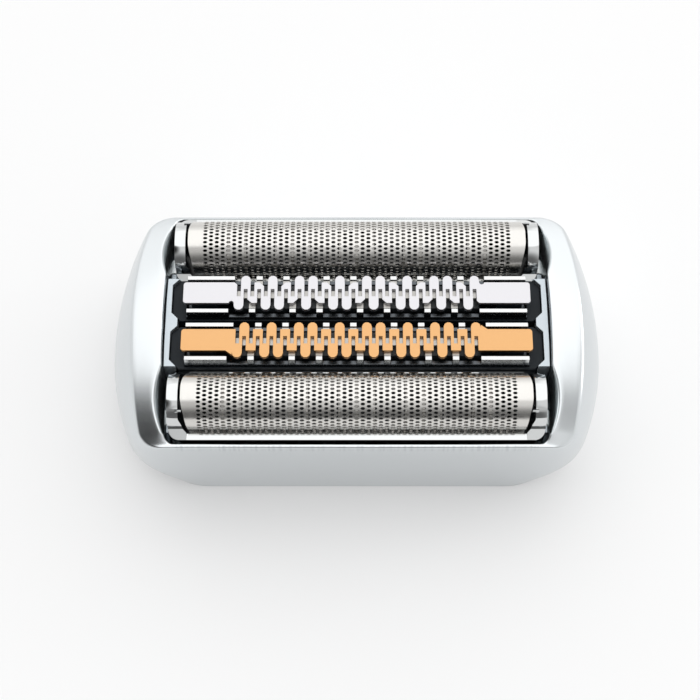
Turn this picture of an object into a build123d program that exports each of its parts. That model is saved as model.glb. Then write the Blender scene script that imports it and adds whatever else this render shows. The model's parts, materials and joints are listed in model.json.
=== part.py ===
from build123d import *

import os
from math import asin, atan2, cos, degrees, pi, radians, sin, sqrt

# Replacement shaving cassette of a foil shaver: two arched foils with their cutters and
# two flat trimmers, each floating by itself in a moulded frame. Millimetres, +Z up.
# X runs along the foils, -Y is the front (gold trimmer side), Z = 0 is the frame's foot.

# Fits and running gaps
fit_gap = 0.15  # between pieces that are fitted together and stay put
slide_gap = 0.05  # between faces that slide on each other
unit_gap = 0.10  # between a foil unit and the trimmer beside it
trimmer_gap = 0.80  # between the two trimmers
end_gap = 0.10  # between a trimmer's end and the tray's end wall
stop_gap = 0.02  # under the stop that a floating unit is pushed up to
frame_gap = 0.25  # between the outer foil rail and the frame's wall

# Foils and their cradles
foil_length = 39.4
foil_radius = 3.3  # outside of the arch
foil_thickness = 0.12
foil_crest = 18.3  # height of the arch's top
foil_leg_bottom = 10.7
foil_travel = 2.0  # how far a foil can be pushed down
trim_start = 3.2  # from the axis of the arch up to where the foil's ends start to draw in
trim_shoulder = 0.35  # drawn in this much at the shoulder of the end
trim_rise = 2.2  # from the axis up to that shoulder
trim_length = 0.85  # drawn in this much at the lower corner
trim_drop = 1.0  # from the axis down to it
rail_thickness = 0.75
rail_flange = 0.25  # the outer rail is this much wider
rail_drop = 0.6  # from the axis of the arch down to the rails' top
lip_thickness = 0.5  # the rails' upper edge, set off from the foil
lip_height = 1.4
mouth_corner = 0.8  # slanting corners between the lips and the end caps
cap_thickness = 1.25
cap_gap = 0.3  # between the foil's edge and the end cap
cap_crown = 0.1  # how far the cap's arch stands inside the foil's
cap_corner = 1.2
flare_rise = 0.45  # from the rails' top up to where the caps start to widen
pip_radius = 0.2  # pips on the caps that keep the foil's ends down
pip_reach = 0.4  # from the cap in over the gap
pip_root = 0.3  # and into the cap
pip_turn = 40  # degrees from the crest towards the outer rail

# Undercutters
blade_pitch = 1.87
blade_room = 4.6  # kept free at each end of the foil
blade_thickness = 0.35
blade_gap = 0.1  # between the blades and the foil
blade_facets = 9
cutter_stroke = 1.0  # to each side
carrier_drop = 1.9  # from the axis of the arch down to the blades' seat
carrier_side_gap = 0.9  # between the carrier and the foil's legs

# Trimmers
holder_overhang = 1.7  # past each end of the foil
holder_width = 5.2
holder_drop = 2.2  # from the comb's top down to the holder's
holder_corner = 0.9
trimmer_travel = 1.5
comb_drop = 1.1  # the comb's top lies this much under the foil's crest
comb_thickness = 0.5
comb_overhang = 0.3  # the comb's end past the guard's
plate_corner = 0.35
tooth_pitch = 1.557
tooth_count = 18  # along each edge
long_reach = 2.22  # from the comb's middle line to a long tooth's tip
short_reach = 1.35
tip_facets = 5  # flats round a long tooth's tip
slit_width = 0.42
slit_overlap = 0.45  # how far a slit runs past the middle line
corner_cut = 0.5  # chamfer on the short teeth of the silver comb
plate_cut = 0.3  # chamfer where the silver comb's end plate meets the first slit
notch_radius = 0.28  # half-round notch beside the silver comb's last long tooth
notch_facets = 4
gusset_length = 0.75  # slanting web beside the gold comb's last long tooth
gusset_drop = 0.55
comb_stroke = 0.75
guard_thickness = 0.5
guard_half_width = 2.35
holder_lip = 1.65  # from the holder's end to the guard
guard_depth = 3.7  # from the comb's top down to the guard's foot
notch_drop = 1.7  # and to the bottom of the notches that the long teeth pass over
tab_drop = 0.4  # and to the top of the guard's tabs
tab_width = 0.75
rail_inset = 0.1  # from the guard's end to its full-height stretches
rail_gap_near = 0.53  # from the last tooth's middle to them: beside a slit, and beside a long tooth
rail_gap_far = 1.18
web_drop = 1.7  # the guard's end webs lie this much under its notches
pedestal_gap = 2.0  # from the slider's end to the block that carries the comb's end plate
lower_blade_thickness = 0.65
lower_tooth_width = 0.75
lower_tooth_reach = 1.75
slider_margin = 0.58  # past the middle of the last tooth
slider_half_width = 1.45

# Drive couplings and inner springs, alike in all four units
unit_height = 8.7  # from a unit's floor to the foil's crest
ledge_thickness = 0.7
ledge_run = 1.5  # how far a ledge reaches in under the end of the spring
coupling_half_length = 2.2
coupling_wall = 0.55
coupling_bottom = 6.8
coupling_depth = 3.0
foil_drive_radius = 1.2  # bore that the shaver's drive pin enters
trimmer_drive_radius = 0.9
cutter_lift = 1.7  # from a unit's floor to its cutter's underside
spring_strip = 0.2
spring_clear = 0.8  # between the drive coupling and the root of an inner spring
inner_spring_flat = 4.0
inner_spring_tip = 0.8
inner_spring_lift = 0.25
float_spring_width = 2.4
float_spring_inset = 1.9  # from the foil's end to the spring's
float_spring_length = 7.8
float_spring_tip = 1.6  # from the spring's end to where it touches the unit
float_spring_fold = 0.9  # length of the tight fold at the root
float_spring_dip = 0.7
lug_width = 1.8
foil_lug_reach = 1.75
trimmer_lug_reach = 0.55

# Tray that carries the four units
tray_floor_bottom = 5.0
tray_floor_top = 6.0
tray_wall = 0.65
tray_wall_top = 15.6
tray_window_length = 13.0
tray_bar = 1.6  # bar beside the window
post_width = 0.9  # guide posts beside the foil units' lugs
post_gap = 0.5  # between the foil unit's end and the posts
wedge_reach = 0.75  # how far a wedge of the end wall stands in between the holders' corners
wedge_gap = 0.17

# Outer frame
rim_wall = 0.4  # front and rear wall at the rim
opening_bulge = 0.6
opening_corner = 1.2
horn_rise = 1.0  # from a unit's floor to the frame's underside that stops it
belt_height = 5.9  # where the frame is widest
belt_side = 6.85  # from the opening to the belt, at the middle of each side
belt_front = 0.1  # how far the belt stands out past the rim, front and rear
belt_corner = 6.1
belt_round = 28.9  # radius of the sides in plan
foot_tuck_side = 2.65
foot_tuck_front = 0.3
foot_corner = 7.7
shoulder_height = 11.0
shoulder_tuck = 0.75
shoulder_corner = 4.1
shoulder_round = 35.6
head_rise = 1.0  # the wall's upper section is drawn this much over the crown
head_tuck = 4.05
head_corner = 1.4
head_round = 39.7
crown_height = 17.2
rim_height = 13.85
horn_fall = 0.24  # drop for each millimetre outwards
edge_chamfer = 0.25
scallop_reach = 0.9  # how far the hollow beside each end cap cuts into the frame's side
scallop_half_length = 3.9
scallop_depth = 1.0
scallop_over = 1.0  # drawn this much past the frame's top
foot_wall = 1.0  # front and rear wall at the foot
cavity_side = 3.8  # from the belt to the inner cavity, at the middle of each side
socket_side = 4.55  # and to the socket below it
socket_corner = 6.0
cavity_corner = 5.0
cavity_round = 60.0
latch_width = 7.0
latch_height = 1.8
latch_depth = 0.8
latch_bottom = 2.0

# Places worked out from the sizes above
foil_axis = foil_crest - foil_radius
rail_top = foil_axis - rail_drop
cap_radius = foil_radius - cap_crown
carrier_top = foil_axis - carrier_drop
cradle_half_width = foil_radius + slide_gap + rail_thickness
cap_inner = foil_length / 2 + cap_gap
cradle_half_length = cap_inner + cap_thickness
foil_lug_end = cradle_half_length + foil_lug_reach
post_start = cradle_half_length + post_gap
blade_count = 1 + int((foil_length - 2 * blade_room) / blade_pitch)
holder_length = foil_length + 2 * holder_overhang
trimmer_lug_end = holder_length / 2 + trimmer_lug_reach
guard_length = holder_length - 2 * holder_lip
comb_length = guard_length + 2 * comb_overhang
last_tooth = tooth_pitch * ((tooth_count - 1) / 2 + 0.25)
rail_end = guard_length / 2 - rail_inset
rail_start_near = last_tooth + rail_gap_near
rail_start_far = last_tooth + rail_gap_far
slider_half_length = last_tooth + slider_margin
pedestal_start = slider_half_length + pedestal_gap
float_spring_end = foil_length / 2 - float_spring_inset
float_spring_touch = float_spring_end - float_spring_tip
float_spring_root = float_spring_end - float_spring_length
trimmer_y = (holder_width + trimmer_gap) / 2
foil_y = trimmer_y + holder_width / 2 + unit_gap + cradle_half_width
unit_floor = foil_crest - unit_height
ledge_top = unit_floor + ledge_thickness
cutter_underside = unit_floor + cutter_lift
horn_underside = unit_floor + horn_rise
lug_top = horn_underside - stop_gap
carrier_half_width = foil_radius - foil_thickness - carrier_side_gap
carrier_half_length = (blade_pitch * (blade_count - 1) + blade_thickness) / 2
blade_radius = foil_radius - foil_thickness - blade_gap
comb_top = foil_crest - comb_drop
comb_bottom = comb_top - comb_thickness
holder_top = comb_top - holder_drop
guard_floor = comb_top - guard_depth
guard_notch = comb_top - notch_drop
guard_top = comb_top - tab_drop
lower_blade_top = comb_bottom - slide_gap
lower_blade_bottom = lower_blade_top - lower_blade_thickness
tray_wall_inner = holder_length / 2 + end_gap
opening_half_length = tray_wall_inner + tray_wall + fit_gap
opening_half_depth = foil_y + cradle_half_width + rail_flange + frame_gap
rim_half_depth = opening_half_depth + rim_wall
crown_sag = crown_height - rim_height
arch_radius = (rim_half_depth**2 + crown_sag**2) / (2 * crown_sag)
belt_half_width = opening_half_length + belt_side
belt_half_depth = rim_half_depth + belt_front
foot_half_depth = belt_half_depth - foot_tuck_front
cavity_half_width = belt_half_width - cavity_side
socket_half_width = belt_half_width - socket_side
socket_half_depth = foot_half_depth - foot_wall


def block(x0, x1, y0, y1, z0, z1):
    size = Box(x1 - x0, y1 - y0, z1 - z0, align=(Align.MIN, Align.MIN, Align.MIN))
    return Pos(x0, y0, z0) * size


def both_ends(piece):
    return piece + mirror(piece, about=Plane.YZ)


def row_positions():
    """Middles of the teeth along the comb's rear edge; the front edge is the same, turned half round."""
    return [tooth_pitch * (k - (tooth_count - 1) / 2 + 0.25) for k in range(tooth_count)]


def is_short(k):
    return k % 5 in (1, 3)


# Outer frame


def plan_outline(half_width, half_depth, corner, side):
    """Straight front and rear, gently round sides, and corner arcs tangent to both."""
    side_centre = half_width - side
    corner_y = half_depth - corner
    corner_x = side_centre + sqrt((side - corner) ** 2 - corner_y**2)
    meet = atan2(corner_y, corner_x - side_centre)
    middle = (meet + radians(90)) / 2
    start = (corner_x, half_depth)
    on_corner = (corner_x + corner * cos(middle), corner_y + corner * sin(middle))
    on_side = (side_centre + side * cos(meet), side * sin(meet))
    quarter = ThreePointArc(start, on_corner, on_side)
    lower = mirror(quarter, about=Plane.XZ)
    bulge = ThreePointArc(on_side, (half_width, 0), (on_side[0], -on_side[1]))
    right = [quarter, bulge, lower]
    left = [mirror(edge, about=Plane.YZ) for edge in right]
    rear = Line(start, (-start[0], start[1]))
    front = Line((start[0], -start[1]), (-start[0], -start[1]))
    return make_face([*right, *left, rear, front])


def opening_outline(gap=0.0):
    """The frame's upper opening, drawn in by gap for what fits into it."""
    x = opening_half_length - gap
    y = opening_half_depth - gap
    end = x - opening_bulge
    right = ThreePointArc((end, -y), (x, 0), (end, y))
    left = mirror(right, about=Plane.YZ)
    face = make_face([right, left, Line((end, y), (-end, y)), Line((end, -y), (-end, -y))])
    return fillet(face.vertices(), opening_corner)


def frame_body():
    """Moulded wall: tucked in at the foot, widest at the belt, leaning in over the shoulder to its head."""
    width, depth = belt_half_width, belt_half_depth
    sections = [
        (0, width - foot_tuck_side, foot_half_depth, foot_corner, belt_round),
        (belt_height, width, depth, belt_corner, belt_round),
        (shoulder_height, width - shoulder_tuck, depth, shoulder_corner, shoulder_round),
        (crown_height + head_rise, width - head_tuck, rim_half_depth, head_corner, head_round),
    ]
    return loft([Pos(0, 0, z) * plan_outline(*outline) for z, *outline in sections], ruled=True)


def crown_envelope():
    """Everything under the frame's top: an arch from front to rear that falls away outwards at the sides."""
    y = belt_half_depth + 1
    edge = crown_height - arch_radius + sqrt(arch_radius**2 - y**2)
    depth = -2 * crown_height
    arch = ThreePointArc((-y, edge), (0, crown_height), (y, edge))
    sides = Polyline((y, edge), (y, depth), (-y, depth), (-y, edge))
    profile = Plane.YZ * make_face([arch, sides])
    middle = extrude(profile, opening_half_length, both=True)
    run = belt_side + 1
    slant = run * sqrt(1 + horn_fall**2)
    right = extrude(Pos(opening_half_length, 0, 0) * profile, slant, dir=(1, 0, -horn_fall))
    return middle + both_ends(right)


def cavity_outline(gap=0.0):
    """The frame's hollow over the socket, drawn in by gap for what fits into it."""
    half_width, half_depth = cavity_half_width - gap, opening_half_depth - gap
    return plan_outline(half_width, half_depth, cavity_corner - gap, cavity_round - gap)


def scallop(y):
    """Conical hollow in the side edge of the opening, beside the foil at y."""
    radius = (scallop_half_length**2 + scallop_reach**2) / (2 * scallop_reach)
    slope = scallop_reach / scallop_depth
    height = scallop_depth + scallop_over
    cone = Cone(
        radius - scallop_reach,
        radius + slope * scallop_over,
        height,
        align=(Align.CENTER, Align.CENTER, Align.MIN),
    )
    wall_x = opening_half_length - opening_bulge * (y / opening_half_depth) ** 2
    top = crown_height - arch_radius + sqrt(arch_radius**2 - y**2)
    lean = Rot(-degrees(asin(y / arch_radius)), 0, 0)
    cone = Pos(wall_x + scallop_reach - radius, y, top) * lean * Pos(0, 0, -scallop_depth) * cone
    inner_x, outer_x = wall_x - opening_bulge, wall_x + 2 * scallop_reach
    near_y, far_y = y - scallop_half_length, y + scallop_half_length
    return cone & block(inner_x, outer_x, near_y, far_y, horn_underside, crown_height)


def outer_frame():
    shell = frame_body() & crown_envelope()
    rim_edges = [e for e in shell.edges() if e.bounding_box().min.Z > shoulder_height + edge_chamfer]
    shell = chamfer(rim_edges, edge_chamfer)
    opening = extrude(opening_outline(), crown_height)
    hollow_height = horn_underside - tray_floor_bottom
    hollow = extrude(Pos(0, 0, tray_floor_bottom) * cavity_outline(), hollow_height)
    socket_outline = plan_outline(socket_half_width, socket_half_depth, socket_corner, cavity_round)
    socket = extrude(socket_outline, tray_floor_bottom)
    shell -= Pos(0, 0, tray_floor_bottom) * opening + hollow + socket
    latch_end = cavity_half_width + latch_depth
    latch_top = latch_bottom + latch_height
    latch_half = latch_width / 2
    latch = block(opening_half_length, latch_end, -latch_half, latch_half, latch_bottom, latch_top)
    return shell - both_ends(latch) - [both_ends(scallop(y)) for y in (-foil_y, foil_y)]


# Tray


def tray_wedges(half_wall):
    """Wedges on an end wall that fill in between the chamfered corners of the holders."""
    base, tip = tray_wall_inner, tray_wall_inner - wedge_reach
    chamfer_start = holder_length / 2 - holder_corner + wedge_gap
    base_half = trimmer_gap / 2 + base - chamfer_start
    tip_half = trimmer_gap / 2 + tip - chamfer_start
    middle = Polyline((base, base_half), (tip, tip_half), (tip, -tip_half), (base, -base_half), close=True)
    near = half_wall + trimmer_gap / 2
    outer = Polyline(
        (base, near - base_half), (tip, near - tip_half), (tip, half_wall), (base, half_wall), close=True
    )
    faces = [make_face(middle), make_face(outer), mirror(make_face(outer), about=Plane.XZ)]
    height = tray_wall_top - tray_floor_top
    return [extrude(Pos(0, 0, tray_floor_top) * face, height) for face in faces]


def tray():
    """Inner frame: a floor with a drive window, end walls with guide slots, and guide posts."""
    floor = extrude(
        Pos(0, 0, tray_floor_bottom) * cavity_outline(fit_gap),
        tray_floor_top - tray_floor_bottom,
    )
    half_window = tray_window_length / 2
    window_depth = opening_half_depth - fit_gap - tray_bar
    body = floor - block(
        -half_window, half_window, -window_depth, window_depth, tray_floor_bottom, tray_floor_top
    )
    half_wall = trimmer_y + holder_width / 2
    wall_height = tray_wall_top - tray_floor_bottom
    wall = extrude(Pos(0, 0, tray_floor_bottom) * opening_outline(fit_gap), wall_height)
    wall &= block(
        tray_wall_inner, opening_half_length, -half_wall, half_wall, tray_floor_bottom, tray_wall_top
    )
    wall += tray_wedges(half_wall)
    half_slot = lug_width / 2 + fit_gap
    slot_bottom = unit_floor - trimmer_travel - stop_gap
    for y in (-trimmer_y, trimmer_y):
        wall -= block(
            tray_wall_inner, opening_half_length, y - half_slot, y + half_slot, slot_bottom, horn_underside
        )
    pad_top = unit_floor - foil_travel - stop_gap
    for y in (-foil_y, foil_y):
        half_guide = half_slot + post_width
        guide = block(post_start, foil_lug_end, y - half_guide, y + half_guide, tray_floor_bottom, lug_top)
        wall += guide - block(post_start, foil_lug_end, y - half_slot, y + half_slot, pad_top, lug_top)
    return body + both_ends(wall)


# Springs


def leaf(outer, inner, width):
    """Bent strip of spring steel, drawn from the front by the lines of its two faces."""
    section = make_face(Polyline(*outer, *reversed(inner), close=True))
    return extrude(Plane.XZ * section, width / 2, both=True)


def float_spring(end):
    """Folded leaf under one end of a unit: a foot on the tray and an arm up to the unit's floor."""
    foot = tray_floor_top
    touch = unit_floor - slide_gap
    outer = [
        (float_spring_end, foot),
        (float_spring_root, foot),
        (float_spring_touch, touch),
        (float_spring_end, touch - float_spring_dip),
    ]
    inner = [
        (float_spring_end, foot + spring_strip),
        (float_spring_root + float_spring_fold, foot + spring_strip),
        (float_spring_touch, touch - spring_strip),
        (float_spring_end, touch - float_spring_dip - spring_strip),
    ]
    piece = leaf(outer, inner, float_spring_width)
    return piece if end > 0 else mirror(piece, about=Plane.YZ)


def inner_springs(half_span, width):
    """Two leaves that lift a cutter: flat under it beside the coupling, with arms down to the ledges."""
    touch = ledge_top + slide_gap
    root = coupling_half_length + spring_clear
    lower = [
        (root, cutter_underside - spring_strip),
        (root + inner_spring_flat, cutter_underside - spring_strip),
        (half_span - inner_spring_tip, touch),
        (half_span, touch + inner_spring_lift),
    ]
    upper = [(x, z + spring_strip) for x, z in lower]
    right = leaf(lower, upper, width)
    return Compound(children=[right, mirror(right, about=Plane.YZ)])


# Foil unit


def arch_face(radius, bottom):
    """Half round on straight legs, seen along X."""
    legs = Polyline((-radius, foil_axis), (-radius, bottom), (radius, bottom), (radius, foil_axis))
    top = ThreePointArc((radius, foil_axis), (0, foil_axis + radius), (-radius, foil_axis))
    return Plane.YZ * make_face([legs, top])


def arch_bar(radius, bottom, x0, x1):
    return Pos(x0, 0, 0) * extrude(arch_face(radius, bottom), x1 - x0)


def foil():
    """Thin arched sheet, its ends drawn in on both sides of the crest."""
    half = foil_length / 2
    inner = foil_radius - foil_thickness
    sheet = arch_bar(foil_radius, foil_leg_bottom, -half, half) - arch_bar(inner, 0, -half, half)
    slant = Polyline(
        (half, foil_axis + trim_start),
        (half - trim_shoulder, foil_axis + trim_rise),
        (half - trim_length, foil_axis - trim_drop),
        (half - trim_length, foil_leg_bottom),
        (half, foil_leg_bottom),
        close=True,
    )
    return sheet - both_ends(extrude(Plane.XZ * make_face(slant), foil_radius, both=True))


def cap_face():
    """Section of an end cap: an arch that widens at its foot to the rails, the outer one at -Y."""
    inner_y, outer_y = cradle_half_width, cradle_half_width + rail_flange
    foot = rail_top + flare_rise
    edge = sqrt(cap_radius**2 - (foot - foil_axis) ** 2)
    outer = [(-edge, foot), (-outer_y, rail_top), (-outer_y, unit_floor)]
    inner = [(inner_y, unit_floor), (inner_y, rail_top), (edge, foot)]
    top = ThreePointArc((edge, foot), (0, foil_axis + cap_radius), (-edge, foot))
    return Plane.YZ * make_face([Polyline(*outer, *inner), top])


def foil_pip():
    """Small pip on an end cap, over the end of the foil on its outer side."""
    turn = radians(pip_turn)
    length = pip_reach + pip_root
    pip = Rot(0, 90, 0) * extrude(RegularPolygon(pip_radius, 6), length)
    return Pos(cap_inner - pip_reach, -cap_radius * sin(turn), foil_axis + cap_radius * cos(turn)) * pip


def foil_cradle():
    """Chromed carrier of a foil: side rails with a thin lip, arched end caps, ledges of the inner spring."""
    x, y = cradle_half_length, cradle_half_width
    inner_y, outer_y = y - rail_thickness, y + rail_flange
    plan = block(-x, x, -outer_y, y, unit_floor, foil_crest)
    plan = fillet(plan.edges().filter_by(Axis.Z), cap_corner)
    start = cap_inner - mouth_corner
    caps = both_ends(Pos(start, 0, 0) * extrude(cap_face(), x - start))
    body = plan & (caps + block(-x, x, -outer_y, y, unit_floor, rail_top))
    ledge_start = carrier_half_length - cutter_stroke - ledge_run
    lip_bottom = rail_top - lip_height
    body -= block(-cap_inner, cap_inner, -inner_y, inner_y, ledge_top, lip_bottom)
    body -= block(-ledge_start, ledge_start, -inner_y, inner_y, unit_floor, ledge_top)
    mouth = Rectangle(2 * cap_inner, 2 * (y - lip_thickness))
    mouth = chamfer(mouth.vertices(), mouth_corner)
    body -= extrude(Pos(0, 0, lip_bottom) * mouth, foil_crest - lip_bottom)
    lug = block(x, foil_lug_end, -lug_width / 2, lug_width / 2, unit_floor, lug_top)
    return body + both_ends(lug + foil_pip())


def cutter_carrier():
    x, y = carrier_half_length, carrier_half_width
    return add_coupling(block(-x, x, -y, y, cutter_underside, carrier_top), foil_drive_radius)


def add_coupling(body, bore_radius):
    """Leg on a cutter's underside, with the bore that the shaver's drive pin enters."""
    half_width = bore_radius + coupling_wall
    leg = block(
        -coupling_half_length,
        coupling_half_length,
        -half_width,
        half_width,
        coupling_bottom,
        cutter_underside,
    )
    bore = Cylinder(bore_radius, coupling_depth, align=(Align.CENTER, Align.CENTER, Align.MIN))
    return body + leg - Pos(0, 0, coupling_bottom) * bore


def cutter_blades():
    """Stack of round-topped blades that stand on the carrier."""
    dip = asin((foil_axis - carrier_top) / blade_radius)
    turns = [(pi + 2 * dip) * k / blade_facets - dip for k in range(blade_facets + 1)]
    outline = [(blade_radius * cos(a), foil_axis + blade_radius * sin(a)) for a in turns]
    profile = make_face(Polyline(*outline, close=True))
    blade = extrude(Plane.YZ * profile, blade_thickness / 2, both=True)
    places = [blade_pitch * (k - (blade_count - 1) / 2) for k in range(blade_count)]
    return Compound(children=[Pos(x, 0, 0) * blade for x in places])


# Trimmer unit


def long_tooth(radius):
    """Straight tooth with a round tip."""
    turns = [pi * k / tip_facets for k in range(tip_facets + 1)]
    tip = [(radius * cos(a), long_reach - radius + radius * sin(a)) for a in turns]
    return make_face(Polyline((radius, 0), *tip, (-radius, 0), close=True))


def comb_row(chamfered):
    """One edge of the comb: the long tips to add, and the slits and corners to take away."""
    tooth_width = tooth_pitch - slit_width
    tips = []
    cuts = []
    for k, x in enumerate(row_positions()):
        cuts.append(
            Pos(x - tooth_pitch / 2, -slit_overlap)
            * Rectangle(slit_width, 2 * long_reach, align=(Align.CENTER, Align.MIN))
        )
        if not is_short(k):
            tips.append(Pos(x, 0) * long_tooth(tooth_width / 2))
        elif chamfered:
            lean = 1 if k % 5 == 1 else -1
            corner = x + lean * tooth_width / 2
            cuts.append(
                make_face(
                    Polyline(
                        (corner, short_reach),
                        (corner - lean * corner_cut, short_reach),
                        (corner, short_reach - corner_cut),
                        close=True,
                    )
                )
            )
    return tips, cuts


def last_tooth_corner(chamfered):
    """At the front edge's last long tooth: a notch to take away (silver) or a gusset to add (gold)."""
    tooth_side = -last_tooth - (tooth_pitch - slit_width) / 2
    if not chamfered:
        return make_face(
            Polyline(
                (tooth_side, -short_reach),
                (tooth_side - gusset_length, -short_reach),
                (tooth_side, -short_reach - gusset_drop),
                close=True,
            )
        )
    turns = [pi * k / notch_facets for k in range(notch_facets + 1)]
    middle = tooth_side - notch_radius
    arc = [(middle + notch_radius * cos(a), notch_radius * sin(a) - short_reach) for a in turns]
    return make_face(Polyline(*arc, close=True))


def comb(chamfered):
    """Fixed comb: a meander of long and short teeth between two end plates, the same turned half round."""
    tips, cuts = comb_row(chamfered)
    plate = Rectangle(comb_length, 2 * short_reach)
    plate = fillet(plate.vertices(), plate_corner)
    corner = last_tooth_corner(chamfered)
    if chamfered:
        plate_side = row_positions()[0] - (tooth_pitch + slit_width) / 2
        bevel = Polyline(
            (plate_side, short_reach),
            (plate_side - plate_cut, short_reach),
            (plate_side, short_reach - plate_cut),
            close=True,
        )
        cuts += [corner, make_face(bevel)]
    else:
        tips.append(corner)
    face = plate + tips + [Rot(0, 0, 180) * t for t in tips]
    face -= cuts + [Rot(0, 0, 180) * c for c in cuts]
    return extrude(Pos(0, 0, comb_bottom) * face, comb_thickness)


def lower_blade():
    """Moving comb that shears under the fixed one."""
    teeth = []
    for x in row_positions():
        tooth = Pos(x, 0) * Rectangle(
            lower_tooth_width, lower_tooth_reach, align=(Align.CENTER, Align.MIN)
        )
        teeth += [tooth, Rot(0, 0, 180) * tooth]
    face = Rectangle(2 * slider_half_length, 2 * slit_overlap) + teeth
    return extrude(Pos(0, 0, lower_blade_bottom) * face, lower_blade_thickness)


def guard_stretch(x0, x1, top):
    """Stretch of the guard's wall, seen from behind."""
    return Pos(x0, guard_floor) * Rectangle(x1 - x0, top - guard_floor, align=(Align.MIN, Align.MIN))


def guard():
    """Stamped band round the comb: low where the long teeth pass over it, with a tab at each short tooth."""
    half = guard_length / 2
    profile = guard_stretch(-half, half, guard_notch)
    profile += guard_stretch(-rail_end, -rail_start_near, guard_top)
    profile += guard_stretch(rail_start_far, rail_end, guard_top)
    for k, x in enumerate(row_positions()):
        if is_short(k):
            profile += guard_stretch(x - tab_width / 2, x + tab_width / 2, guard_top)
    wall = Pos(0, guard_half_width, 0) * extrude(Plane.XZ * profile, guard_thickness)
    band = wall + Rot(0, 0, 180) * wall
    web = block(
        half - guard_thickness,
        half,
        -guard_half_width,
        guard_half_width,
        guard_floor,
        guard_notch - web_drop,
    )
    return band + both_ends(web)


def trimmer_holder():
    """Dark moulded base: a recess for the guard, pedestals for the comb, a slot for the slider."""
    x, y = holder_length / 2, holder_width / 2
    body = block(-x, x, -y, y, unit_floor, holder_top)
    body = chamfer(body.edges().filter_by(Axis.Z), holder_corner)
    recess_x = guard_length / 2 + slide_gap
    recess_y = guard_half_width + slide_gap
    body -= block(-recess_x, recess_x, -recess_y, recess_y, guard_floor, holder_top)
    pedestal_y = short_reach - slide_gap
    pedestal_end = guard_length / 2 - guard_thickness - fit_gap
    pedestal = block(pedestal_start, pedestal_end, -pedestal_y, pedestal_y, guard_floor, comb_bottom)
    lug = block(x, trimmer_lug_end, -lug_width / 2, lug_width / 2, unit_floor, lug_top)
    body += both_ends(pedestal + lug)
    slot_y = slider_half_width + fit_gap
    slot_x = pedestal_start - slide_gap
    ledge_start = slider_half_length - comb_stroke - ledge_run
    body -= block(-slot_x, slot_x, -slot_y, slot_y, ledge_top, comb_bottom)
    body -= block(-ledge_start, ledge_start, -slot_y, slot_y, unit_floor, ledge_top)
    return body


def slider():
    """Bar that carries the moving comb to and fro."""
    x, y = slider_half_length, slider_half_width
    body = block(-x, x, -y, y, cutter_underside, lower_blade_bottom)
    return add_coupling(body, trimmer_drive_radius)


# Whole cassette


def cassette():
    pieces = {"outer_frame": outer_frame(), "inner_tray": tray()}
    foil_pieces = {
        "foil": foil(),
        "foil_cradle": foil_cradle(),
        "cutter_carrier": cutter_carrier(),
        "cutter_blades": cutter_blades(),
        "cutter_springs": inner_springs(carrier_half_length, 2 * carrier_half_width),
    }
    trimmer_pieces = {
        "trimmer_holder": trimmer_holder(),
        "trimmer_guard": guard(),
        "trimmer_blade": lower_blade(),
        "trimmer_slider": slider(),
        "trimmer_springs": inner_springs(slider_half_length, 2 * slider_half_width),
    }
    places = {
        "front": (-foil_y, 0, foil_pieces),
        "rear": (foil_y, 180, foil_pieces),
        "gold": (-trimmer_y, 0, {**trimmer_pieces, "trimmer_comb": comb(chamfered=False)}),
        "silver": (trimmer_y, 0, {**trimmer_pieces, "trimmer_comb": comb(chamfered=True)}),
    }
    for unit, (y, turn, members) in places.items():
        for name, shape in members.items():
            pieces[f"{unit}_{name}"] = Pos(0, y, 0) * Rot(0, 0, turn) * shape
        for side, end in (("left", -1), ("right", 1)):
            pieces[f"{unit}_float_spring_{side}"] = Pos(0, y, 0) * float_spring(end)
    return pieces


os.makedirs("parts", exist_ok=True)
for node, shape in cassette().items():
    export_step(shape, f"parts/{node}.step")
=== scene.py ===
import json
import math

import bmesh
import bpy
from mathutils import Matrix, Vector


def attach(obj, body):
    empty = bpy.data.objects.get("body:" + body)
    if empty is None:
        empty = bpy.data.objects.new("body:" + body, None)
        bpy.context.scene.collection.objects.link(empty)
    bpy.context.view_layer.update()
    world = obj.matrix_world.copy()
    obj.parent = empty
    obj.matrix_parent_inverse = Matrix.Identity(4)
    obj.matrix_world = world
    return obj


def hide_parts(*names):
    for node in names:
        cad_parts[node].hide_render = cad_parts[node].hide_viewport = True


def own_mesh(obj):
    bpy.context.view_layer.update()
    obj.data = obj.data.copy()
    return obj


# Shaving cassette seen from above and in front, on a white table in soft window light.
# Sizes and places in the dictionaries are millimetres, angles are degrees, and meshes are metres.
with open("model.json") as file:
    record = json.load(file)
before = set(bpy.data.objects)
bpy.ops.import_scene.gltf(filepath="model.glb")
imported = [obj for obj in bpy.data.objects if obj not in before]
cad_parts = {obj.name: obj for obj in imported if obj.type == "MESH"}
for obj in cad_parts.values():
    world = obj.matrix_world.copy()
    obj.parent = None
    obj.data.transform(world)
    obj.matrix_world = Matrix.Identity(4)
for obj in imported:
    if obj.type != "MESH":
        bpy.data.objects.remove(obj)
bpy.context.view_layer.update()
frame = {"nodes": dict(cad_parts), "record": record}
nodes = frame["nodes"]
mm = 0.001
foilPlaces = {"front": -9.8, "rear": 9.8}
slotOf = {entry["node"]: entry["material_slot"] for entry in frame["record"]["subparts"]}
bodyOf = {name: body for body, names in frame["record"]["behaviour"]["bodies"].items() for name in names}
print("stage: frame loaded,", len(nodes), "nodes")


# Helpers for colours and node trees

def linear(code):  # sRGB hex to the linear colour that shaders take
    parts = [int(code[i:i + 2], 16) / 255 for i in (1, 3, 5)]
    return [p / 12.92 if p <= 0.04045 else ((p + 0.055) / 1.055) ** 2.4 for p in parts] + [1.0]


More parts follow.
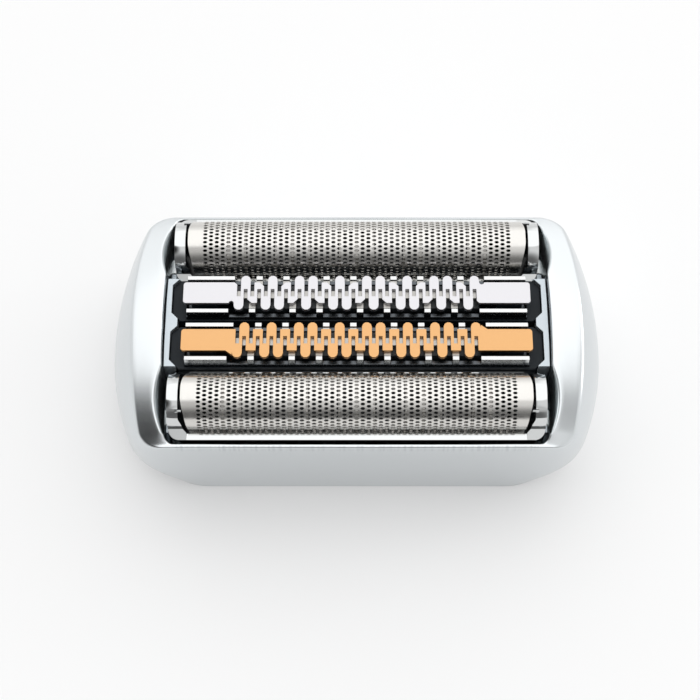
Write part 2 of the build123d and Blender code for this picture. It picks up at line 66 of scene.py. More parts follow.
def addNode(tree, kind, inputs=None, **settings):  # a node with its settings, values and links
    node = tree.nodes.new(kind)
    for name, value in settings.items():
        setattr(node, name, value)
    pairs = inputs.items() if isinstance(inputs, dict) else enumerate(inputs or [])
    for name, value in pairs:
        if isinstance(value, bpy.types.Node):  # a node stands for its first output
            value = value.outputs[0]
        if isinstance(value, bpy.types.NodeSocket):
            tree.links.new(value, node.inputs[name])
        else:
            node.inputs[name].default_value = value
    return node


def newMaterial(name):  # an empty material and its node tree
    material = bpy.data.materials.new(name)
    material.use_nodes = True
    material.node_tree.nodes.clear()
    return material, material.node_tree


def perMillimetre(size):  # texture scale for features of this size
    return 1 / (size * mm)


# Materials. Each surface has an unevenness that breaks up its gloss. The real grain is finer than a pixel,
# so it is drawn as coarse as it needs to show.

grainForm = {"detail": 3.0, "harshness": 0.55, "contrast": (0.3, 0.7), "depth": 0.02}
usualShine = 0.5

looks = {
    # lacquer over moulded plastic: even, soft reflections, and faint upright streaks under the front rim
    "frame_silver": {
        "name": "satin chrome lacquer", "colour": "#D7DBDD", "metal": 1.0, "rough": 0.22, "spread": 0.01,
        "grain": (0.8, 0.8, 0.8), "bump": 0.0,
        "streaks": {"colour": "#C8CCCF", "pitch": 0.4, "heights": (12.4, 13.4), "front": -14.6,
                    "reach": 20.5, "contrast": (0.45, 0.65), "detail": 2.0, "harshness": 0.6}},
    # thin metallic lacquer that lets some of the blue-grey plastic through
    "tray_grey": {
        "name": "blue-grey metallic lacquer", "colour": "#C0C8CE", "metal": 0.7, "rough": 0.20,
        "spread": 0.04, "grain": (0.6, 0.6, 0.6), "bump": 0.03},
    # nickel grown on a form: warm grey, smooth, with blurred reflections
    "foil_steel": {
        "name": "electroformed nickel", "colour": "#D6D4D0", "metal": 1.0, "rough": 0.22, "spread": 0.04,
        "grain": (0.4, 0.4, 0.4), "bump": 0.03},
    # bright plating: nearly a mirror, with painted shade, near black and without metal, on its inside faces
    "cradle_chrome": {
        "name": "bright chrome plating", "colour": "#D3D5D5", "metal": 1.0, "rough": 0.08, "spread": 0.02,
        "grain": (1.0, 1.0, 1.0), "bump": 0.01, "insideShade": "#14181B"},
    # ground steel: fine lines side by side break up its gloss
    "blade_steel": {
        "name": "ground blade steel", "colour": "#B4B2AE", "metal": 1.0, "rough": 0.35, "spread": 0.06,
        "grain": (0.05, 0.8, 0.8), "bump": 0.06},
    # moulded acetal: dark and waxy
    "carrier_plastic": {
        "name": "dark acetal", "colour": "#2B3034", "metal": 0.0, "rough": 0.45, "spread": 0.05,
        "grain": (0.5, 0.5, 0.5), "bump": 0.05},
    # rolled strip: lines along its length
    "spring_steel": {
        "name": "spring steel strip", "colour": "#B4B4B0", "metal": 1.0, "rough": 0.32, "spread": 0.05,
        "grain": (2.0, 0.05, 0.5), "bump": 0.04},
    # plastic from an eroded mould: almost black and nearly without gloss
    "holder_charcoal": {
        "name": "charcoal ABS", "colour": "#1A2127", "metal": 0.0, "rough": 0.5, "spread": 0.05,
        "grain": (0.25, 0.25, 0.25), "bump": 0.08, "shine": 0.25},
    # tumbled steel: satin tabs and rails, with painted shade making it darker towards the foot, below the
    # tabs
    "guard_steel": {
        "name": "tumbled stainless steel", "colour": "#D7D8D8", "metal": 1.0, "rough": 0.26, "spread": 0.05,
        "grain": (0.5, 0.2, 0.2), "bump": 0.04, "lowShade": {"colour": "#5C6064", "heights": (15.7, 16.5)}},
    # hard coating on blasted steel: warm gold with a wide, soft sheen
    "comb_gold": {
        "name": "titanium nitride coated steel", "colour": "#D4A572", "metal": 1.0, "rough": 0.36,
        "spread": 0.05, "grain": (0.15, 0.15, 0.15), "bump": 0.04},
    # blasted steel: pale, with a wide, soft sheen
    "comb_silver": {
        "name": "satin stainless steel", "colour": "#CDCCCF", "metal": 1.0, "rough": 0.34, "spread": 0.05,
        "grain": (0.15, 0.15, 0.15), "bump": 0.04},
}


def streakedColour(tree, place, streaks, colour):  # uneven upright streaks, which fade out below the rim
    at = addNode(tree, "ShaderNodeSeparateXYZ", [place]).outputs
    along = addNode(tree, "ShaderNodeMath", [at["X"], perMillimetre(streaks["pitch"])], operation="MULTIPLY")
    noise = addNode(tree, "ShaderNodeTexNoise", {
        "W": along, "Scale": 1.0, "Detail": streaks["detail"],
        "Roughness": streaks["harshness"]}, noise_dimensions="1D")
    low, high = streaks["contrast"]
    share = addNode(tree, "ShaderNodeMapRange", {"Value": noise, "From Min": low, "From Max": high})
    bottom, top = streaks["heights"]
    fade = addNode(tree, "ShaderNodeMapRange", {
        "Value": at["Z"], "From Min": bottom * mm, "From Max": top * mm}, interpolation_type="SMOOTHSTEP")
    front = addNode(tree, "ShaderNodeMath", [at["Y"], streaks["front"] * mm], operation="LESS_THAN")
    aside = addNode(tree, "ShaderNodeMath", [at["X"]], operation="ABSOLUTE")
    inner = addNode(tree, "ShaderNodeMath", [aside, streaks["reach"] * mm], operation="LESS_THAN")
    for limit in (front, inner, fade):
        share = addNode(tree, "ShaderNodeMath", [share, limit], operation="MULTIPLY")
    mixed = addNode(tree, "ShaderNodeMix", {
        "Factor": share, 6: colour, 7: linear(streaks["colour"])}, data_type="RGBA")
    return mixed.outputs[2]


# painted shade: the colour darkens to a shaded grey below a height
def lowShadeColour(tree, place, lowShade, colour):  # the colour goes over to a duller one between two heights
    height = addNode(tree, "ShaderNodeSeparateXYZ", [place]).outputs["Z"]
    bottom, top = lowShade["heights"]
    litShare = addNode(tree, "ShaderNodeMapRange", {
        "Value": height, "From Min": bottom * mm, "From Max": top * mm}, interpolation_type="SMOOTHSTEP")
    mixed = addNode(tree, "ShaderNodeMix", {
        "Factor": litShare, 6: linear(lowShade["colour"]), 7: colour}, data_type="RGBA")
    return mixed.outputs[2]


def finishMaterial(look):
    material, tree = newMaterial(look["name"])
    place = addNode(tree, "ShaderNodeTexCoord").outputs["Object"]
    scale = [perMillimetre(size) for size in look["grain"]]
    mapped = addNode(tree, "ShaderNodeMapping", {"Vector": place, "Scale": scale})
    grain = addNode(tree, "ShaderNodeTexNoise", {
        "Vector": mapped, "Scale": 1.0, "Detail": grainForm["detail"], "Roughness": grainForm["harshness"]})
    low, high = grainForm["contrast"]
    rough = addNode(tree, "ShaderNodeMapRange", {
        "Value": grain, "From Min": low, "From Max": high,
        "To Min": look["rough"] - look["spread"], "To Max": look["rough"] + look["spread"]})
    bump = addNode(tree, "ShaderNodeBump", {
        "Height": grain, "Strength": look["bump"], "Distance": grainForm["depth"] * mm})
    colour = linear(look["colour"])
    metal = look["metal"]
    if "streaks" in look:
        colour = streakedColour(tree, place, look["streaks"], colour)
    # painted shade, darker towards the foot
    if "lowShade" in look:
        colour = lowShadeColour(tree, place, look["lowShade"], colour)
    if "insideShade" in look:  # painted shade, near black and without metal, where the mesh marks the inside faces
        insideShade = addNode(tree, "ShaderNodeAttribute", attribute_name="insideShade").outputs["Fac"]
        mixed = addNode(tree, "ShaderNodeMix", {
            "Factor": insideShade, 6: colour, 7: linear(look["insideShade"])}, data_type="RGBA")
        colour = mixed.outputs[2]
        metal = addNode(tree, "ShaderNodeMath", [metal, insideShade], operation="SUBTRACT")
    shader = addNode(tree, "ShaderNodeBsdfPrincipled", {
        "Base Color": colour, "Metallic": metal, "Specular IOR Level": look.get("shine", usualShine),
        "Roughness": rough, "Normal": bump})
    addNode(tree, "ShaderNodeOutputMaterial", {"Surface": shader})
    return material


materials = {slot: finishMaterial(look) for slot, look in looks.items()}
for name, thing in nodes.items():
    thing.data.materials.clear()
    thing.data.materials.append(materials[slotOf[name]])
print("stage: materials made for", len(materials), "slots")


# Making finished pieces

mergeDistance = 0.002


def plainMesh(thing):  # the mesh with its modifiers worked in
    bpy.context.view_layer.update()
    evaluated = thing.evaluated_get(bpy.context.evaluated_depsgraph_get())
    return bpy.data.meshes.new_from_object(evaluated)


def mergedCopy(node, flat=None):  # a CAD node's mesh with its triangles joined, and flat faces made whole
    mesh = nodes[node].data.copy()
    form = bmesh.new()
    form.from_mesh(mesh)
    bmesh.ops.remove_doubles(form, verts=form.verts, dist=mergeDistance * mm)
    if flat:
        limit = math.radians(flat)
        bmesh.ops.dissolve_limit(form, angle_limit=limit, verts=form.verts, edges=form.edges)
    form.to_mesh(mesh)
    form.free()
    return mesh


def finishPiece(name, mesh, node, sharp=None):  # a finished piece in place of a CAD node
    if sharp:
        mesh.shade_smooth()
        mesh.set_sharp_from_angle(angle=math.radians(sharp))
    mesh.materials.clear()
    mesh.materials.append(materials[slotOf[node]])
    piece = bpy.data.objects.new(name, mesh)
    bpy.context.collection.objects.link(piece)
    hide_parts(node)
    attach(piece, bodyOf[node])
    return piece


# Outer frame: one closed profile carried round the plan, from the foot up over the shoulder to the top
# and down inside. An outline is half width, half depth, corner radius and radius of the sides.

frameShape = {
    "sections": [(0.0, (26.5, 14.6, 7.7, 28.9)), (5.9, (29.15, 14.9, 6.1, 28.9)),
                 (11.0, (28.4, 14.9, 4.1, 35.6)), (18.2, (25.1, 14.8, 1.4, 39.7))],
    "opening": (22.3, 14.4, 1.2, 173.1),
    "cavity": (25.35, 14.41, 5.0, 60.0),
    "socket": (24.6, 13.6, 6.0, 60.0),
    "crown": 17.2, "rim": 13.85,  # heights of the arched top, in the middle and at front and rear
    "fall": 0.24, "fallBlend": 0.5,  # the top's slope past the opening, and the length over which it begins
    "frontFlatness": 0.55,  # how far the front lip is level instead of arched
    "lipHeight": 0.4, "hornUnderside": 10.6, "ledge": 5.0, "shoulder": 11.0,
    # hollows beside the foil caps, and pockets in the socket's ends
    "scallop": {"middle": foilPlaces["rear"], "halfLength": 3.9, "reach": 0.9, "depth": 1.0},
    "latch": {"halfLength": 3.5, "bottom": 2.0, "top": 3.8, "end": 26.15},
    "footRound": 0.3,
    "outerRound": (0.45, 0.35), "innerRound": (0.3, 0.6),  # radius, and the largest share of the top's width
    "wallHeights": (1.2, 2.4, 3.6, 4.6, 5.3, 5.9, 6.6, 7.6, 8.8, 10.0, 11.0),
    "shoulderShares": (0.3, 0.6), "topShares": (0.25, 0.5, 0.75),
    "steps": {"line": 16, "corner": 12, "side": 28},
    "roundSteps": {"foot": 3, "outer": 5, "inner": 4},
    "splitShare": 0.0005, "splitHeight": 0.002,  # these keep points apart at the ends of the pockets
    "probe": 1.0, "halvings": 30,  # stretch that gives the wall's direction, and tries to find its crease
    "sharp": 50,
}


def smoothSlopes(places, values):  # slopes of a curve through the values that never overshoots
    steps = [(b - a) / (q - p) for p, q, a, b in zip(places, places[1:], values, values[1:])]
    inner = [2 * a * b / (a + b) if a * b > 0 else 0.0 for a, b in zip(steps, steps[1:])]
    return [steps[0]] + inner + [steps[-1]]


def wallOutline(sections, z):  # the wall's outline at a height
    places = [section[0] for section in sections]
    k = max(i for i in range(len(places) - 1) if i == 0 or places[i] <= z)
    run = places[k + 1] - places[k]
    t = (z - places[k]) / run
    result = []
    for values in zip(*[section[1] for section in sections]):
        slopes = smoothSlopes(places, values)
        ends = (1 + 2 * t) * (1 - t) ** 2 * values[k] + t * t * (3 - 2 * t) * values[k + 1]
        turns = t * (1 - t) ** 2 * slopes[k] - t * t * (1 - t) * slopes[k + 1]
        result.append(ends + run * turns)
    return result


def outlineArcs(outline):  # middle of the sides' arc, middle of the corner's, and the angle where they meet
    halfWidth, halfDepth, corner, side = outline
    sideX = halfWidth - side
    cornerY = halfDepth - corner
    cornerX = sideX + math.sqrt((side - corner) ** 2 - cornerY ** 2)
    return sideX, cornerX, cornerY, math.atan2(cornerY, cornerX - sideX)


def outlinePoint(outline, place, z):  # a point of the outline, by quarter, stretch and share of that stretch
    halfDepth, corner, side = outline[1:]
    signX, signY, stretch, share = place
    sideX, cornerX, cornerY, meet = outlineArcs(outline)
    if stretch == "line":
        x, y = cornerX * share, halfDepth
    elif stretch == "corner":
        turn = math.pi / 2 + (meet - math.pi / 2) * share
        x, y = cornerX + corner * math.cos(turn), cornerY + corner * math.sin(turn)
    else:
        turn = meet * (1 - share)
        x, y = sideX + side * math.cos(turn), side * math.sin(turn)
    return Vector((signX * x, signY * y, z))


def wallPoint(shape, place, z):
    return outlinePoint(wallOutline(shape["sections"], z), place, z)


def ringPlaces(shape):  # places round the frame, with a pair at each end of the latch pockets
    quarter = [(stretch, k / count) for stretch, count in shape["steps"].items() for k in range(count)]
    side = shape["socket"][3]
    meet = outlineArcs(shape["socket"])[3]
    latchShare = 1 - math.asin(shape["latch"]["halfLength"] / side) / meet
    quarter += [("side", latchShare - shape["splitShare"]), ("side", latchShare + shape["splitShare"])]
    order = list(shape["steps"])
    quarter.sort(key=lambda place: (order.index(place[0]), place[1]))
    back = list(reversed(quarter[1:]))
    ring = [(1, -1) + place for place in quarter] + [(1, -1, "side", 1.0)]
    ring += [(1, 1) + place for place in back] + [(1, 1, "line", 0.0)]
    ring += [(-1, 1) + place for place in quarter[1:]] + [(-1, 1, "side", 1.0)]
    return ring + [(-1, -1) + place for place in back]


def topHeight(shape, point):  # the frame's top: an arch from front to rear that falls away at the sides
    sag = shape["crown"] - shape["rim"]
    halfDepth = shape["sections"][-1][1][1]
    radius = (halfDepth ** 2 + sag ** 2) / (2 * sag)
    arch = shape["crown"] - radius + math.sqrt(radius ** 2 - point.y ** 2)
    past = abs(point.x) - shape["opening"][0]
    return arch - shape["fall"] * (past + math.hypot(past, shape["fallBlend"])) / 2


def creaseHeight(shape, place):  # where the wall meets the top, by halving
    low, high = shape["shoulder"], shape["crown"]
    for step in range(shape["halvings"]):
        z = (low + high) / 2
        if z < topHeight(shape, wallPoint(shape, place, z)):
            low = z
        else:
            high = z
    return low


def rounded(before, edge, after, radius, count):  # points of a soft edge between two directions
    start = edge + (before - edge).normalized() * radius
    end = edge + (after - edge).normalized() * radius
    curve = []
    for k in range(count + 1):
        t = k / count
        curve.append(start * (1 - t) ** 2 + edge * 2 * t * (1 - t) + end * t * t)
    return curve


def frameOutside(shape, place, crease):  # points of the wall, from the foot to just under the top
    foot = outlinePoint(shape["socket"], place, 0.0)
    loop = rounded(foot, wallPoint(shape, place, 0.0), wallPoint(shape, place, shape["probe"]),
                   shape["footRound"], shape["roundSteps"]["foot"])
    shoulder = shape["shoulder"]
    heights = [shoulder + (crease - shoulder) * share for share in shape["shoulderShares"]]
    return loop + [wallPoint(shape, place, z) for z in list(shape["wallHeights"]) + heights]


def frameTop(shape, place, crease):  # points of the top, from the wall's crease to under the opening's lip
    signY, stretch, share = place[1:]
    front = {"line": 1.0, "corner": 1 - share, "side": 0.0}[stretch] if signY < 0 else 0.0
    flatness = shape["frontFlatness"] * front
    scallop = shape["scallop"]

    def lifted(point):
        point.z = topHeight(shape, point) * (1 - flatness) + crease * flatness
        return point

    outer = wallPoint(shape, place, crease)
    lower = outlinePoint(shape["opening"], place, 0.0)
    across = (abs(lower.y) - scallop["middle"]) / scallop["halfLength"]
    hollow = max(0.0, 1 - across ** 2) if stretch == "side" else 0.0
    inner = lower.copy()
    inner.x += math.copysign(scallop["reach"] * hollow, inner.x)
    inner = lifted(inner)
    lower.z = inner.z - shape["lipHeight"] - scallop["depth"] * hollow
    top = [lifted(outer.lerp(inner, part)) for part in shape["topShares"]]
    width = (outer - inner).length
    outerRound, innerRound = [min(radius, most * width) for radius, most in (
        shape["outerRound"], shape["innerRound"])]
    below = wallPoint(shape, place, crease - shape["probe"])
    loop = rounded(below, outer, top[0], outerRound, shape["roundSteps"]["outer"]) + top
    return loop + rounded(top[-1], inner, lower, innerRound, shape["roundSteps"]["inner"]) + [lower]


def frameInside(shape, place):  # points of the cavity and the socket, from the horn down to the foot
    horn, ledge, socket = shape["hornUnderside"], shape["ledge"], shape["socket"]
    levels = (("opening", horn), ("cavity", horn), ("cavity", ledge), ("socket", ledge))
    loop = [outlinePoint(shape[outline], place, z) for outline, z in levels]
    latch, gap = shape["latch"], shape["splitHeight"]
    top, bottom = latch["top"], latch["bottom"]
    for z, deep in ((top + gap, False), (top - gap, True), (bottom + gap, True), (bottom - gap, False)):
        point = outlinePoint(socket, place, z)
        if deep and abs(point.y) < latch["halfLength"]:
            point.x = math.copysign(latch["end"], point.x)
        loop.append(point)
    return loop + [outlinePoint(socket, place, 0.0)]


def frameProfile(shape, place):  # one section of the frame, as a closed loop of points
    crease = creaseHeight(shape, place)
    return frameOutside(shape, place, crease) + frameTop(shape, place, crease) + frameInside(shape, place)


def buildFrame(shape):
    sections = [frameProfile(shape, place) for place in ringPlaces(shape)]
    size = len(sections[0])
    faces = []
    for i in range(len(sections)):
        j = (i + 1) % len(sections)
        for k in range(size):
            n = (k + 1) % size
            faces.append((i * size + k, j * size + k, j * size + n, i * size + n))
    mesh = bpy.data.meshes.new("silver_frame")
    mesh.from_pydata([point * mm for section in sections for point in section], [], faces)
    form = bmesh.new()
    form.from_mesh(mesh)
    bmesh.ops.recalc_face_normals(form, faces=form.faces)
    form.to_mesh(mesh)
    form.free()
    finishPiece("silver_frame", mesh, "outer_frame", shape["sharp"])


buildFrame(frameShape)
print("stage: outer frame made")


# Perforated foils: tiles with one hole each, staggered column by column, then bent to the arch

foilShape = {
    "length": 39.4, "radius": 3.3, "axis": 15.0, "legBottom": 10.7, "thickness": 0.12,
    "columnPitch": 0.68, "rowPitch": 0.50, "columns": 53, "rows": 26,
    "holeLength": 0.56, "holeHeight": 0.31, "holeFlat": 0.26,
    "trims": [(14.0, 17.2, 0.5), (17.2, 18.2, 0.35)],  # two heights, and how far the ends draw in between
    "weld": 0.004, "sharp": 40,
}


def tileObject(name, points, faces):
    mesh = bpy.data.meshes.new(name)
    mesh.from_pydata([(x * mm, y * mm, 0) for x, y in points], [], faces)
    return bpy.data.objects.new(name, mesh)


def holeTile(shape):
    x, y = shape["columnPitch"] / 2, shape["rowPitch"] / 2
    tip, flat, rise = shape["holeLength"] / 2, shape["holeFlat"] / 2, shape["holeHeight"] / 2
    rim = [(x, 0), (x, y), (-x, y), (-x, 0), (-x, -y), (x, -y)]
    hole = [(tip, 0), (flat, rise), (-flat, rise), (-tip, 0), (-flat, -rise), (flat, -rise)]
    count = len(rim)
    faces = [(k, (k + 1) % count, count + (k + 1) % count, count + k) for k in range(count)]
    return tileObject("hole tile", rim + hole, faces)


def plainTile(shape):
    x, y = shape["columnPitch"] / 2, shape["rowPitch"] / 4
    return tileObject("plain tile", [(-x, -y), (x, -y), (x, y), (-x, y)], [(0, 1, 2, 3)])


def foilPatches(shape):  # tile, counts, spacings and stretch of each field of tiles
    column, row = shape["columnPitch"], shape["rowPitch"]
    odd = shape["columns"] // 2
    even = shape["columns"] - odd
    fieldX = shape["columns"] * column / 2
    fieldY = shape["rows"] * row / 2
    endWidth = shape["length"] / 2 - fieldX
    endX = shape["length"] + 2 * fieldX
    edge = math.pi * shape["radius"] / 2 + shape["axis"] - shape["legBottom"]
    legHeight = edge - fieldY
    wide, tall = endWidth / column, 2 * legHeight / row
    return [
        ("Hole Tile", even, shape["rows"], 2 * column, row, 1, 1),
        ("Hole Tile", odd, shape["rows"] - 1, 2 * column, row, 1, 1),
        ("Plain Tile", odd, 2, 2 * column, 2 * fieldY - row / 2, 1, 1),
        ("Plain Tile", 2, 2 * shape["rows"], endX / 2, row / 2, wide, 1),
        ("Plain Tile", shape["columns"], 2, column, edge + fieldY, 1, tall),
        ("Plain Tile", 2, 2, endX / 2, edge + fieldY, wide, tall),
    ]


def flatSheet(tree, given, shape):  # the fields of tiles side by side, welded into one sheet
    joined = addNode(tree, "GeometryNodeJoinGeometry")
    tiles = {}
    for name in ("Hole Tile", "Plain Tile"):
        tiles[name] = addNode(tree, "GeometryNodeObjectInfo", {"Object": given[name]}).outputs["Geometry"]
    for tile, countX, countY, pitchX, pitchY, wide, tall in foilPatches(shape):
        grid = addNode(tree, "GeometryNodeMeshGrid", {
            "Size X": (countX - 1) * pitchX * mm, "Size Y": (countY - 1) * pitchY * mm,
            "Vertices X": countX, "Vertices Y": countY})
        placed = addNode(tree, "GeometryNodeInstanceOnPoints", {
            "Points": grid, "Instance": tiles[tile], "Scale": (wide, tall, 1)})
        tree.links.new(placed.outputs["Instances"], joined.inputs["Geometry"])
    real = addNode(tree, "GeometryNodeRealizeInstances", {"Geometry": joined})
    return addNode(tree, "GeometryNodeMergeByDistance", {"Geometry": real, "Distance": shape["weld"] * mm})


def bentPlace(tree, given, shape):  # where a point of the flat sheet goes: arch, legs and drawn-in ends
    position = addNode(tree, "GeometryNodeInputPosition")
    flat = addNode(tree, "ShaderNodeSeparateXYZ", [position]).outputs
    radius = given["Arch Radius"]
    quarter = addNode(tree, "ShaderNodeMath", [radius, math.pi / 2], operation="MULTIPLY")
    minus = addNode(tree, "ShaderNodeMath", [quarter, -1.0], operation="MULTIPLY")
    onArch = addNode(tree, "ShaderNodeClamp", [flat["Y"], minus, quarter])
    turn = addNode(tree, "ShaderNodeMath", [onArch, radius], operation="DIVIDE")
    sine = addNode(tree, "ShaderNodeMath", [turn], operation="SINE")
    cosine = addNode(tree, "ShaderNodeMath", [turn], operation="COSINE")
    across = addNode(tree, "ShaderNodeMath", [sine, radius, given["Foil Place"]], operation="MULTIPLY_ADD")
    rise = addNode(tree, "ShaderNodeMath", [cosine, radius, given["Arch Axis"]], operation="MULTIPLY_ADD")
    past = addNode(tree, "ShaderNodeMath", [flat["Y"], onArch], operation="SUBTRACT")
    leg = addNode(tree, "ShaderNodeMath", [past], operation="ABSOLUTE")
    height = addNode(tree, "ShaderNodeMath", [rise, leg], operation="SUBTRACT")
    end = shape["length"] / 2 * mm
    for bottom, top, drawn in shape["trims"]:
        slant = addNode(tree, "ShaderNodeMapRange", {
            "Value": height, "From Min": bottom * mm, "From Max": top * mm,
            "To Min": drawn * mm, "To Max": 0.0})
        end = addNode(tree, "ShaderNodeMath", [end, slant], operation="SUBTRACT")
    aside = addNode(tree, "ShaderNodeMath", [flat["X"]], operation="ABSOLUTE")
    reach = addNode(tree, "ShaderNodeMath", [aside, end], operation="MINIMUM")
    side = addNode(tree, "ShaderNodeMath", [flat["X"]], operation="SIGN")
    along = addNode(tree, "ShaderNodeMath", [reach, side], operation="MULTIPLY")
    return addNode(tree, "ShaderNodeCombineXYZ", [along, across, height])


def foilTree(shape):
    tree = bpy.data.node_groups.new("perforated foil", "GeometryNodeTree")
    for name, kind in (("Hole Tile", "Object"), ("Plain Tile", "Object"), ("Arch Radius", "Float"),
                       ("Arch Axis", "Float"), ("Foil Place", "Float"), ("Finish", "Material")):
        tree.interface.new_socket(name, in_out="INPUT", socket_type="NodeSocket" + kind)
    tree.interface.new_socket("Foil", in_out="OUTPUT", socket_type="NodeSocketGeometry")
    given = addNode(tree, "NodeGroupInput").outputs
    sheet = flatSheet(tree, given, shape)
    shaped = addNode(tree, "GeometryNodeSetPosition", {
        "Geometry": sheet, "Position": bentPlace(tree, given, shape)})
    painted = addNode(tree, "GeometryNodeSetMaterial", {"Geometry": shaped, "Material": given["Finish"]})
    addNode(tree, "NodeGroupOutput", {"Foil": painted})
    return tree


def buildFoils(shape):
    tree = foilTree(shape)
    sockets = {item.name: item.identifier for item in tree.interface.items_tree if item.in_out == "INPUT"}
    tiles = {"Hole Tile": holeTile(shape), "Plain Tile": plainTile(shape)}
    for unit, place in foilPlaces.items():
        node = unit + "_foil"
        blank = bpy.data.objects.new("blank", bpy.data.meshes.new("blank"))
        bpy.context.collection.objects.link(blank)
        bend = blank.modifiers.new("perforated foil", "NODES")
        bend.node_group = tree
        values = {"Arch Radius": shape["radius"] * mm, "Arch Axis": shape["axis"] * mm,
                  "Foil Place": place * mm, "Finish": materials[slotOf[node]], **tiles}
        for name, value in values.items():
            bend[sockets[name]] = value
        thick = blank.modifiers.new("thickness", "SOLIDIFY")
        thick.thickness = shape["thickness"] * mm
        thick.offset = -1.0  # inwards
        mesh = plainMesh(blank)
        bpy.data.objects.remove(blank)
        finishPiece(unit + "_perforated_foil", mesh, node, shape["sharp"])
        print("  foil", unit, "triangles", sum(len(p.vertices) - 2 for p in mesh.polygons))
    for tile in tiles.values():
        bpy.data.objects.remove(tile)


buildFoils(foilShape)
print("stage: foils made")


# Edges of plated, stamped and moulded pieces, softened as their making leaves them

softEdges = {
    "flat": 1, "corner": 35,  # largest angle within a flat face, and smallest angle of an edge to soften
    "evenness": 100,  # how far large faces are shaded as flat
    "pieces": [
        {"nodes": ("front_foil_cradle", "rear_foil_cradle"), "width": 0.20, "steps": 3},
        {"nodes": ("gold_trimmer_comb", "silver_trimmer_comb"), "width": 0.05, "steps": 2},
        {"nodes": ("gold_trimmer_guard", "silver_trimmer_guard"), "width": 0.18, "steps": 3},
        {"nodes": ("gold_trimmer_holder", "silver_trimmer_holder"), "width": 0.10, "steps": 2},
        {"nodes": ("inner_tray",), "width": 0.10, "steps": 2},
    ],
}


def softened(node, width, steps):
    mesh = mergedCopy(node, softEdges["flat"])
    mesh.shade_smooth()
    blank = bpy.data.objects.new("blank", mesh)
    bpy.context.collection.objects.link(blank)
    bevel = blank.modifiers.new("edges", "BEVEL")
    bevel.width = width * mm
    bevel.segments = steps
    bevel.limit_method = "ANGLE"
    bevel.angle_limit = math.radians(softEdges["corner"])
    even = blank.modifiers.new("flat faces", "WEIGHTED_NORMAL")
    even.weight = softEdges["evenness"]
    soft = plainMesh(blank)
    bpy.data.objects.remove(blank)
    return finishPiece("soft_" + node, soft, node)


softPieces = {}
for edges in softEdges["pieces"]:
    for node in edges["nodes"]:
        softPieces[node] = softened(node, edges["width"], edges["steps"])
print("stage: edges softened")


# Inside faces of the foil cradles, marked for a near-black painted shade

cradleInside = {"halfLength": 20.03, "halfWidth": 3.45}


def markShadedInside(piece, inside, place):
    mesh = piece.data
    insideShade = mesh.attributes.new("insideShade", "FLOAT", "FACE")
    axis, radius = foilShape["axis"], foilShape["radius"]
    for face in mesh.polygons:
        x, y, z = face.center / mm
        across = y - place
        under = z < axis or math.hypot(across, z - axis) < radius
        within = abs(x) < inside["halfLength"] and abs(across) < inside["halfWidth"]
        insideShade.data[face.index].value = 1.0 if within and under else 0.0


for unit, place in foilPlaces.items():
    markShadedInside(softPieces[unit + "_foil_cradle"], cradleInside, place)
print("stage: cradles marked")


# Float springs, copied from their CAD nodes with their triangles joined

floatSprings = {
    "foot": 6.0, "height": 3.55, "sharp": 30,
    # joint and travel of each unit
    "units": {"front": ("front_foil_float", 2.0), "rear": ("rear_foil_float", 2.0),
              "gold": ("gold_trimmer_float", 1.5), "silver": ("silver_trimmer_float", 1.5)},
}


def buildSprings(springs):
    for unit, (joint, travel) in springs["units"].items():
        for side in ("left", "right"):
            node = unit + "_float_spring_" + side
            spring = finishPiece(unit + "_spring_" + side, mergedCopy(node), node, springs["sharp"])
            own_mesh(spring)


buildSprings(floatSprings)
print("stage: springs made")


# Camera at the photo's angle

view = {"elevation": 65.0, "distance": 185.67, "height": 12.0, "nearest": 10.0,
        "lens": 81.1, "sensor": 36.0, "shiftX": -0.0096, "shiftY": -0.0213}


def placeCamera(view):
    lens = bpy.data.cameras.new("camera")
    lens.lens = view["lens"]
    lens.sensor_width = view["sensor"]
    lens.shift_x = view["shiftX"]
    lens.shift_y = view["shiftY"]
    lens.clip_start = view["nearest"] * mm
    camera = bpy.data.objects.new("camera", lens)
    tilt = math.radians(view["elevation"])
    back = view["distance"] * math.cos(tilt)
    up = view["height"] + view["distance"] * math.sin(tilt)
    camera.location = (0, -back * mm, up * mm)
    camera.rotation_euler = (math.pi / 2 - tilt, 0, 0)
    bpy.context.collection.objects.link(camera)
    bpy.context.scene.camera = camera


placeCamera(view)
print("stage: camera placed")


# White table, lifted to white where it is seen or mirrored, which keeps the shadow

table = {"size": 4000.0, "colour": "#DADADA", "lift": 0.25}


def layTable(table):
    bpy.ops.mesh.primitive_plane_add(size=table["size"] * mm, location=(0, 0, 0))
    floor = bpy.context.object
    floor.name = "floor"
    material, tree = newMaterial("white table")
    paper = addNode(tree, "ShaderNodeBsdfDiffuse", {"Color": linear(table["colour"])})
    path = addNode(tree, "ShaderNodeLightPath").outputs
    seen = path["Is Camera Ray"]
    for ray in ("Is Glossy Ray", "Is Transmission Ray"):
        seen = addNode(tree, "ShaderNodeMath", [seen, path[ray]], operation="MAXIMUM")
    strength = addNode(tree, "ShaderNodeMath", [seen, table["lift"]], operation="MULTIPLY")
    lift = addNode(tree, "ShaderNodeEmission", {"Strength": strength})
    both = addNode(tree, "ShaderNodeAddShader", [paper, lift])
    addNode(tree, "ShaderNodeOutputMaterial", {"Surface": both})
    floor.data.materials.append(material)


layTable(table)
print("stage: table laid")


# Pale room with a bright panel overhead and behind. It is darker on the camera's side, and a little brighter
# at the rear corners, where the depth is below nothing. From and to are cosines of the angle to a patch's
# middle, between which its edge is soft.

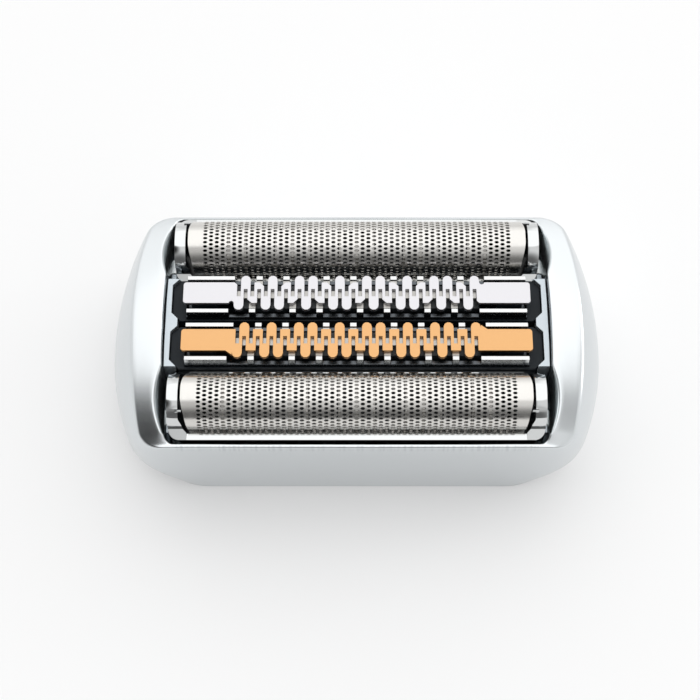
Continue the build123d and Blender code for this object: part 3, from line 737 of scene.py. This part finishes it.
room = {
    "colour": "#FFFFFF", "strength": 0.94,
    "shades": [
        {"towards": (-0.51, -0.40, 0.77), "from": 0.88, "to": 0.985, "depth": 0.96},
        {"towards": (-0.14, -0.98, 0.14), "from": 0.60, "to": 0.99, "depth": 0.84},
        {"towards": (0.55, -0.20, 0.81), "from": 0.97, "to": 1.0, "depth": 0.50},
        {"towards": (-0.45, 0.75, 0.48), "from": 0.86, "to": 0.97, "depth": -0.35},
        {"towards": (0.46, 0.72, 0.50), "from": 0.80, "to": 0.96, "depth": -0.50},
    ],
    "panel": {"towards": (0.0, 0.375, 0.927), "from": 0.765, "to": 0.815, "level": 1.50},
}


def softPatch(tree, direction, patch, outside, inside):  # a round patch of the room with a soft edge
    aim = Vector(patch["towards"]).normalized()
    nearness = addNode(tree, "ShaderNodeVectorMath", [direction, aim], operation="DOT_PRODUCT")
    return addNode(tree, "ShaderNodeMapRange", {
        "Value": nearness.outputs["Value"], "From Min": patch["from"], "From Max": patch["to"],
        "To Min": outside, "To Max": inside}, interpolation_type="SMOOTHSTEP")


def lightRoom(room):
    world = bpy.data.worlds.new("room")
    world.use_nodes = True
    bpy.context.scene.world = world
    tree = world.node_tree
    tree.nodes.clear()
    direction = addNode(tree, "ShaderNodeTexCoord").outputs["Generated"]
    level = room["strength"]
    for shade in room["shades"]:
        fall = softPatch(tree, direction, shade, 1.0, 1 - shade["depth"])
        level = addNode(tree, "ShaderNodeMath", [level, fall], operation="MULTIPLY")
    panel = room["panel"]
    edge = softPatch(tree, direction, panel, 0.0, 1.0)
    level = addNode(tree, "ShaderNodeMix", {"Factor": edge, 2: level, 3: panel["level"]}, data_type="FLOAT")
    sky = addNode(tree, "ShaderNodeBackground", {"Color": linear(room["colour"]), "Strength": level})
    addNode(tree, "ShaderNodeOutputWorld", {"Surface": sky})


lightRoom(room)
print("stage: room lit")


# Window at the right, low, for the soft shadow on the table

window = {"width": 500.0, "height": 400.0, "energy": 1.3, "place": (880.0, 290.0, 230.0)}


def hangWindow(window):
    pane = bpy.data.lights.new("key", "AREA")
    pane.shape = "RECTANGLE"
    pane.size = window["width"] * mm
    pane.size_y = window["height"] * mm
    pane.energy = window["energy"]
    key = bpy.data.objects.new("key", pane)
    key.location = Vector(window["place"]) * mm
    key.rotation_euler = Vector(window["place"]).to_track_quat("Z", "Y").to_euler()
    bpy.context.collection.objects.link(key)


hangWindow(window)
bpy.context.scene.view_settings.view_transform = "Standard"
print("stage: window hung")
